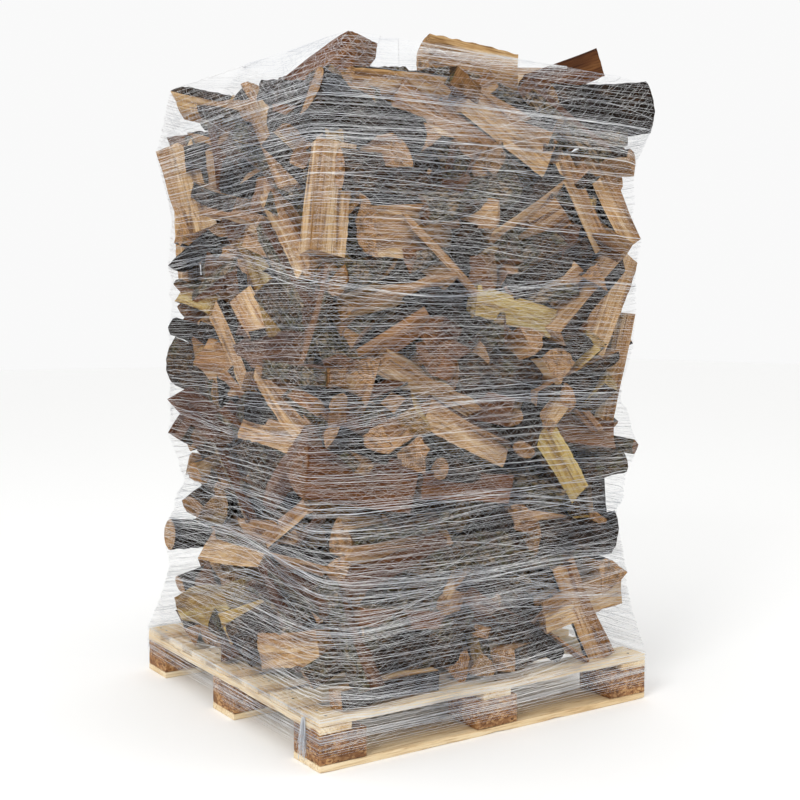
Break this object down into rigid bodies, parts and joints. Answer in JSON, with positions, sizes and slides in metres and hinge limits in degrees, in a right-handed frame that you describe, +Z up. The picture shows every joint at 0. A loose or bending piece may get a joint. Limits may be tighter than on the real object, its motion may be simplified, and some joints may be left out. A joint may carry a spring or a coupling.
{
  "type": "net-wrapped pallet of split firewood",
  "caption": "Short split logs tipped loosely on a nine-block wooden pallet, wound round with knitted pallet net, with a few loose logs on top.",
  "frame": {"origin": "middle of the pallet on the floor, on the underside of the middle runner", "axes": "+Z up, +X along the runners and deck boards, +Y across them"},
  "size_m": [1.2146, 1.1528, 1.9885],
  "materials": {
    "new_board": "sawn softwood, matt",
    "pressed_chips": "pressed wood chips, matt",
    "split_wood": "rough split grain, matt",
    "yellow_wood": "rough split grain, matt",
    "brown_wood": "rough split grain, matt",
    "barked_wood": "rough bark, matt",
    "net_thread": "thin polyethylene tape, slightly glossy"
  },
  "bodies": {
    "root": {"runner_near": "new_board", "block_near_left": "pressed_chips", "block_near_centre": "pressed_chips", "block_near_right": "pressed_chips", "runner_middle": "new_board", "block_middle_left": "pressed_chips", "block_middle_centre": "pressed_chips", "block_middle_right": "pressed_chips", "runner_far": "new_board", "block_far_left": "pressed_chips", "block_far_centre": "pressed_chips", "block_far_right": "pressed_chips", "stringer_left": "new_board", "stringer_centre": "new_board", "stringer_right": "new_board", "deck_board_1": "new_board", "deck_board_2": "new_board", "deck_board_3": "new_board", "deck_board_4": "new_board", "deck_board_5": "new_board", "deck_board_6": "new_board", "deck_board_7": "new_board", "log_top_right_bark": "barked_wood", "log_high_broad": "split_wood", "log_corner_steep_upper": "split_wood", "log_corner_steep_lower": "split_wood", "log_dark_cap": "barked_wood", "log_upright_face": "split_wood", "log_half_round": "split_wood", "log_corner_panel": "split_wood", "log_long_taper": "split_wood", "log_yellow_high": "yellow_wood", "log_end_out": "split_wood", "log_corner_upright": "split_wood", "log_bright_diagonal": "split_wood", "log_tan_diagonal": "split_wood", "log_yellow_low": "yellow_wood", "log_brown_wedge": "brown_wood", "log_brown_long": "brown_wood", "log_broad_pair": "split_wood", "log_low_right": "split_wood", "log_low_thin": "brown_wood", "log_low_round": "barked_wood", "log_far_corner_top": "barked_wood", "log_side_strip_upper": "split_wood", "log_side_strip_middle": "split_wood", "log_side_strip_yellow": "yellow_wood", "log_far_corner_upright": "split_wood", "log_side_pale": "split_wood", "log_far_corner_bark": "barked_wood", "log_side_diagonal": "split_wood", "log_far_corner_round": "barked_wood", "log_side_low": "split_wood", "log_ridge": "brown_wood", "loose_log_mossy": "barked_wood", "loose_log_wedge": "brown_wood", "loose_log_tan": "split_wood", "loose_log_far": "split_wood", "log_pile": "barked_wood", "net_wrap": "net_thread"}
  },
  "joints": []
}
